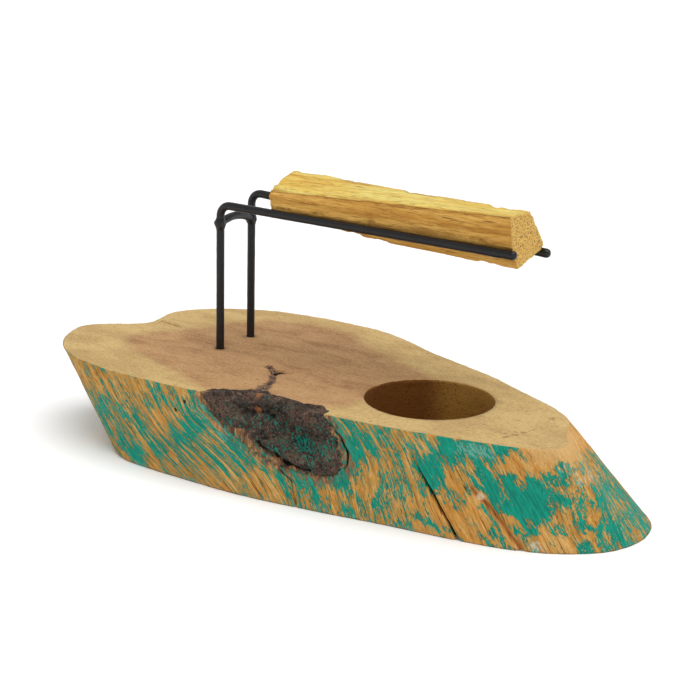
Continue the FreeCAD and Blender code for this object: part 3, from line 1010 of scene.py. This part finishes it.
def stick_look():
    """Split palo santo: straw yellow with long fibres, browner where it was sawn, and browner on its front
    and lower faces, which is partly aged colour and partly painted shade.
    """
    look = Look("split_wood")
    grain, places = look.kept("grain", vector=True), look.places()
    fibre = look.noise(grain, (7, 0.4, 0.4), 4, 0.75, 0.3)
    band = look.noise(grain, (40, 2.2, 2.2), 4, 0.6)
    split = look.noise(grain, (12, 0.5, 0.5), 3, 0.6, 0.5)
    straw, gold, deep_gold = srgb(255, 232, 132), srgb(252, 214, 106), srgb(236, 182, 76)
    fresh = look.ramp(band, (0.38, straw), (0.52, gold), (0.66, deep_gold))
    # the browner colour of the front and lower faces: partly aged colour, partly painted shade
    aged_shaded_colour = look.ramp(band, (0.36, srgb(244, 192, 100)), (0.52, srgb(230, 174, 82)), (0.66, srgb(204, 144, 60)))
    colour = look.stained(
        look.mix(look.kept("aged_and_shaded"), fresh, aged_shaded_colour),
        (srgb(158, 98, 34), 0.7, fibre, 0.5, 0.66),
        (srgb(255, 226, 140), 0.7, fibre, 0.44, 0.28),
        (srgb(112, 64, 22), 0.8, split, 0.62, 0.68),
        # painted shade: browner in the chips and grooves, where the relief is low
        (srgb(170, 110, 44), 0.5, look.kept("relief"), -0.2, -0.6),
    )
    pores = look.window(look.noise(places, 0.5, 3, 0.7), 0.48, 0.62)
    end_colour = look.mix(pores, srgb(246, 200, 108), srgb(160, 108, 44))
    colour = look.mix(look.kept("end"), colour, end_colour)
    return look.finish(colour, 0.7, look.total((fibre, 0.8), (pores, -0.2)), 0.6, 0.2)


# ---------------- knot

BARK_SPLIT = [(-4, -50, 18.6), (0.5, -50, 16.6), (4.5, -49.5, 15), (9.6, -48.6, 13.6), (15, -47.8, 12.8)]
SPLIT_DEPTH, SPLIT_WIDTH, SPLIT_LIP = 2.0, 0.85, 0.5
SCRAPE = [(-9.2, -42, 31.5), (-7.6, -45, 29), (-6, -46.5, 26)]
SCRAPE_WIDTH = 1.5
KNOT_VOXEL = 0.34
SLUMP = 2.6  # how far the bark's top drops away from the wood behind it


def knot_relief(places, rim):
    """How proud the bark stands, in millimetres: crust and ridges, a split, and ripples in the callus."""
    rough = ease(rim, -1.5, 1.0)
    crust = layers(places / 2.6, 90, 4, 0.62)
    ridges = 1 - 2 * np.abs(noise(places / 3.4, 97))
    relief = (0.25 + 0.75 * rough) * (0.55 * crust + 0.45 * ridges + 0.24 * noise(places / 0.8, 101))
    relief += 0.7 * noise(places / 8, 99)
    gap, _ = to_line(places, BARK_SPLIT)
    gap = gap + 0.3 * noise(places / 1.5, 103)
    relief -= SPLIT_DEPTH * hump(gap, SPLIT_WIDTH)
    relief += SPLIT_LIP * hump(gap - 1.9, 0.9)
    relief += 0.5 * (1 - rough) * np.sin(places[:, 0] * TURN / 2.4 + 1.5 * noise(places / 4, 105))
    return relief


def make_knot():
    mesh = remeshed("knot_bark", KNOT_VOXEL, 1)
    places, normals = surface(mesh)
    outward = ease(-normals[:, 1] + 0.8 * normals[:, 2], -0.15, 0.25)
    from_wood = np.array([wood_tree.find_nearest(Vector(p))[3] for p in places])
    rim = within_bark(places)
    relief = knot_relief(places, rim) * outward
    moved = places + normals * relief[:, None]
    moved[:, 2] -= SLUMP * ease(from_wood, 0.4, 4.5) * ease(places[:, 2], TOP - 7, TOP)
    moved[:, 2] = np.minimum(moved[:, 2], TOP - 0.1)
    set_points(mesh, moved)
    middle_band = 0.14 * hump(places[:, 2] - 20, 5) * ease(places[:, 0], -4, 6)
    teal = 0.12 * noise(places / 5, 95) + middle_band + 0.12 * ease(-rim, 0, 2)
    keep(mesh, "grain", grain_places(places))
    keep(mesh, "relief", relief)
    keep(mesh, "rim", rim)
    keep(mesh, "teal", teal - 0.08 * ease(places[:, 2], 25, 29))
    keep(mesh, "scrape", hump(to_line(places, SCRAPE)[0], SCRAPE_WIDTH))
    return show("rough_bark", mesh, "base", ["knot_bark"], [bark_look()])


# ---------------- stand

POOL_FROM_TO = (44, 58)  # where along x the paint starts to pool, and where the pool is full
POOL_DEPTH = 0.16
WELD_VOXEL, WELD_GLOSS = 0.18, 0.3


def make_rod(node, name, voxel, lumps):
    """A CAD rod or brace under a slightly uneven coat of paint, thicker where it pooled at the tip."""
    mesh = remeshed(node, voxel, 3)
    places, normals = surface(mesh)
    pooled = ease(places[:, 0], *POOL_FROM_TO) * (0.6 + 0.4 * noise(places / 3, 44))
    relief = lumps * layers(places / 2.4, 40, 3) + POOL_DEPTH * pooled
    set_points(mesh, places + normals * relief[:, None])
    keep(mesh, "gloss", pooled)
    return show(name, mesh, "stand", [node], [black_paint])


def make_weld(node, name, slim, seed):
    """A bead of weld metal: lumpy, closer to the rod than the CAD one, and fullest half way up."""
    mesh = remeshed(node, WELD_VOXEL, 2)
    places, normals = surface(mesh)
    low, high = node_box(node)
    middle = (low + high) / 2
    share = (places[:, 2] - middle[2]) / (high[2] - low[2])
    thin = slim + (0.12 + 0.1 * noise(places / 2.5, seed)) * np.cos(share * 3.6)
    moved = places.copy()
    moved[:, :2] = middle[:2] + (places[:, :2] - middle[:2]) * thin[:, None]
    relief = 0.26 * layers(places / 1.5, seed + 1, 2)
    set_points(mesh, moved + normals * relief[:, None])
    keep(mesh, "gloss", np.full(len(places), WELD_GLOSS))
    return show(name, mesh, "stand", [node], [black_paint])


# ---------------- stick

STICK_ROWS, FACET_COLUMNS = 210, 18
CAP_RINGS = (0.93, 0.82, 0.68, 0.52, 0.36, 0.2)  # rings of points on each end, as shares of its outline
RIDGE_HEIGHT, CHIP_DEPTH = 0.2, 0.8
LEFT_RISE = 2.9  # how far the underside rises towards the left end


def stick_corners(at_left):
    """The five corners of one end of the CAD stick, in order round it."""
    corners = node_points("palo_santo_stick")
    edge = corners[:, 0].min() if at_left else corners[:, 0].max()
    ring = corners[np.abs(corners[:, 0] - edge) < 0.01]
    ring = np.unique(np.round(ring, 3), axis=0)
    middle = ring.mean(axis=0)
    turn = np.arctan2(ring[:, 2] - middle[2], ring[:, 1] - middle[1])
    return ring[np.argsort(turn)]


def stick_mesh(left, right):
    """The stick's facets between its two ends, and both ends filled with ever smaller rings."""
    share = np.linspace(0, 1, FACET_COLUMNS, endpoint=False)[:, None]

    def ring(corners):
        return np.vstack([a + (b - a) * share for a, b in zip(corners, np.roll(corners, -1, axis=0))])

    start, end = ring(left), ring(right)
    sheet = Sheet()
    numbers = [sheet.add(start + (end - start) * t) for t in np.linspace(0, 1, STICK_ROWS)]
    sheet.rows(numbers[::-1], 0)
    for outline, tip, turned in ((start, numbers[0], False), (end, numbers[-1], True)):
        middle = outline.mean(axis=0)
        caps = [tip] + [sheet.add(middle + (outline - middle) * s) for s in CAP_RINGS]
        caps = [c[::-1] if turned else c for c in caps]
        sheet.rows(caps, 0)
        sheet.fan(caps[-1], sheet.add([middle])[0], 0)
    return sheet.mesh("split_stick")


def make_stick():
    left, right = stick_corners(True), stick_corners(False)
    mesh = stick_mesh(left, right)
    places, normals = surface(mesh)
    across = np.abs(normals[:, 0]) > 0.8
    number = np.arange(len(places))
    column = number % (len(left) * FACET_COLUMNS) % FACET_COLUMNS / FACET_COLUMNS
    at_edge = ease(np.minimum(column, 1 - column), 0.22, 0.0)
    at_edge = at_edge * (number < STICK_ROWS * len(left) * FACET_COLUMNS)
    chips = np.maximum(0, layers(places * np.array([1 / 5, 1 / 9, 1 / 9]), 18, 3) + 0.15)
    ridges = np.tanh(3 * noise(places * np.array([1 / 26, 1 / 1.7, 1 / 1.7]), 12))
    relief = RIDGE_HEIGHT * ridges + 0.13 * layers(places * np.array([1 / 12, 1 / 0.8, 1 / 0.8]), 14, 2)
    relief -= CHIP_DEPTH * chips * at_edge + 0.25 * at_edge
    relief = np.where(across, 0.2 * layers(places / 0.8, 16, 2) - 0.1, relief)
    moved = places + normals * relief[:, None]
    share = (places[:, 0] - left[0, 0]) / (right[0, 0] - left[0, 0])
    bottom = left[:, 2].min() + (right[:, 2].min() - left[:, 2].min()) * share
    moved[:, 2] += LEFT_RISE * ease(share, 0.5, 0.0) * ease(places[:, 2] - bottom, 5.0, 0.0)
    set_points(mesh, moved)
    keep(mesh, "grain", places)
    keep(mesh, "relief", relief)
    keep(mesh, "end", across.astype(float))
    # front- and down-facing faces: partly aged colour, partly painted shade
    keep(mesh, "aged_and_shaded", ease(-normals[:, 1] - 0.3 * normals[:, 2], 0.2, 0.7))
    return show("split_stick", mesh, "stick", ["palo_santo_stick"], [stick_look()])


# ---------------- camera, floor and light

AZIMUTH, ELEVATION, ROLL = 34.48, 16.10, 1.47  # degrees
DISTANCE = 515.0
AIM = (9.8, -19.3, 45.0)
LENS, SENSOR = 82.34, 36.0

# The floor from its middle out: how far away, in metres, and how high.
FLOOR_CURVE = ((0.5, 0), (2.5, 0), (3.5, 0.04), (4.5, 0.16), (5.5, 0.4), (6.5, 0.8), (7.2, 1.4), (7.6, 2.2))
ROOM_STRENGTH, LAMP_STRENGTH = 0.62, 2.1
LAMP_WIDTH, LAMP_SHINES = 55, (-0.35, 0.12, -1)  # degrees across, and the way its light goes


def make_camera():
    turn, rise = math.radians(AZIMUTH), math.radians(ELEVATION)
    back = Vector((math.sin(turn) * math.cos(rise), -math.cos(turn) * math.cos(rise), math.sin(rise)))
    data = bpy.data.cameras.new("camera")
    data.lens, data.sensor_width = LENS, SENSOR
    camera = add_object("camera", data)
    camera.location = (Vector(AIM) + back * DISTANCE) * MM
    level = (-back).to_track_quat("-Z", "Y")
    camera.rotation_mode = "QUATERNION"
    camera.rotation_quaternion = level @ Matrix.Rotation(math.radians(ROLL), 4, "Z").to_quaternion()
    bpy.context.scene.camera = camera


def make_floor():
    """A plain pale floor that curves up far away, so that a low view meets no horizon."""
    sheet = Sheet()
    rings = [sheet.add(circle((0, 0), reach, 96, height)) for reach, height in FLOOR_CURVE]
    sheet.rows([ring[::-1] for ring in rings[::-1]], 0)
    sheet.fan(rings[0][::-1], sheet.add([[0, 0, 0]])[0], 0)
    mesh = sheet.mesh("floor")
    mesh.shade_smooth()
    look = Look("floor")
    speck = look.noise(look.places(), 40, 2)
    white = look.mix(speck, (0.93, 0.93, 0.93, 1), (0.95, 0.95, 0.95, 1))
    mesh.materials.append(look.finish(white, 0.9, speck, 0.01))
    floor = add_object("floor", mesh)


def make_light():
    """An even white room with one broad lamp above and to the right."""
    world = bpy.data.worlds.new("studio")
    world.use_nodes = True
    room = world.node_tree.nodes["Background"]
    room.inputs["Color"].default_value = (1, 1, 1, 1)
    room.inputs["Strength"].default_value = ROOM_STRENGTH
    bpy.context.scene.world = world
    data = bpy.data.lights.new("lamp", "SUN")
    data.energy, data.angle = LAMP_STRENGTH, math.radians(LAMP_WIDTH)
    lamp = add_object("lamp", data)
    lamp.rotation_mode = "QUATERNION"
    lamp.rotation_quaternion = Vector(LAMP_SHINES).to_track_quat("-Z", "Y")
    bpy.context.scene.view_settings.view_transform = "Standard"


# ---------------- build

black_paint = rod_look()
make_base()
make_knot()
for rod, voxel, lumps in (("front_rod", 0.24, 0.03), ("rear_rod", 0.24, 0.03), ("cross_brace", 0.2, 0.05)):
    make_rod(rod, rod + "_painted", voxel, lumps)
for weld, slim, seed in (("front_weld", 0.72, 47), ("rear_weld", 0.66, 53)):
    make_weld(weld, weld + "_bead", slim, seed)
make_stick()
make_camera()
make_floor()
make_light()
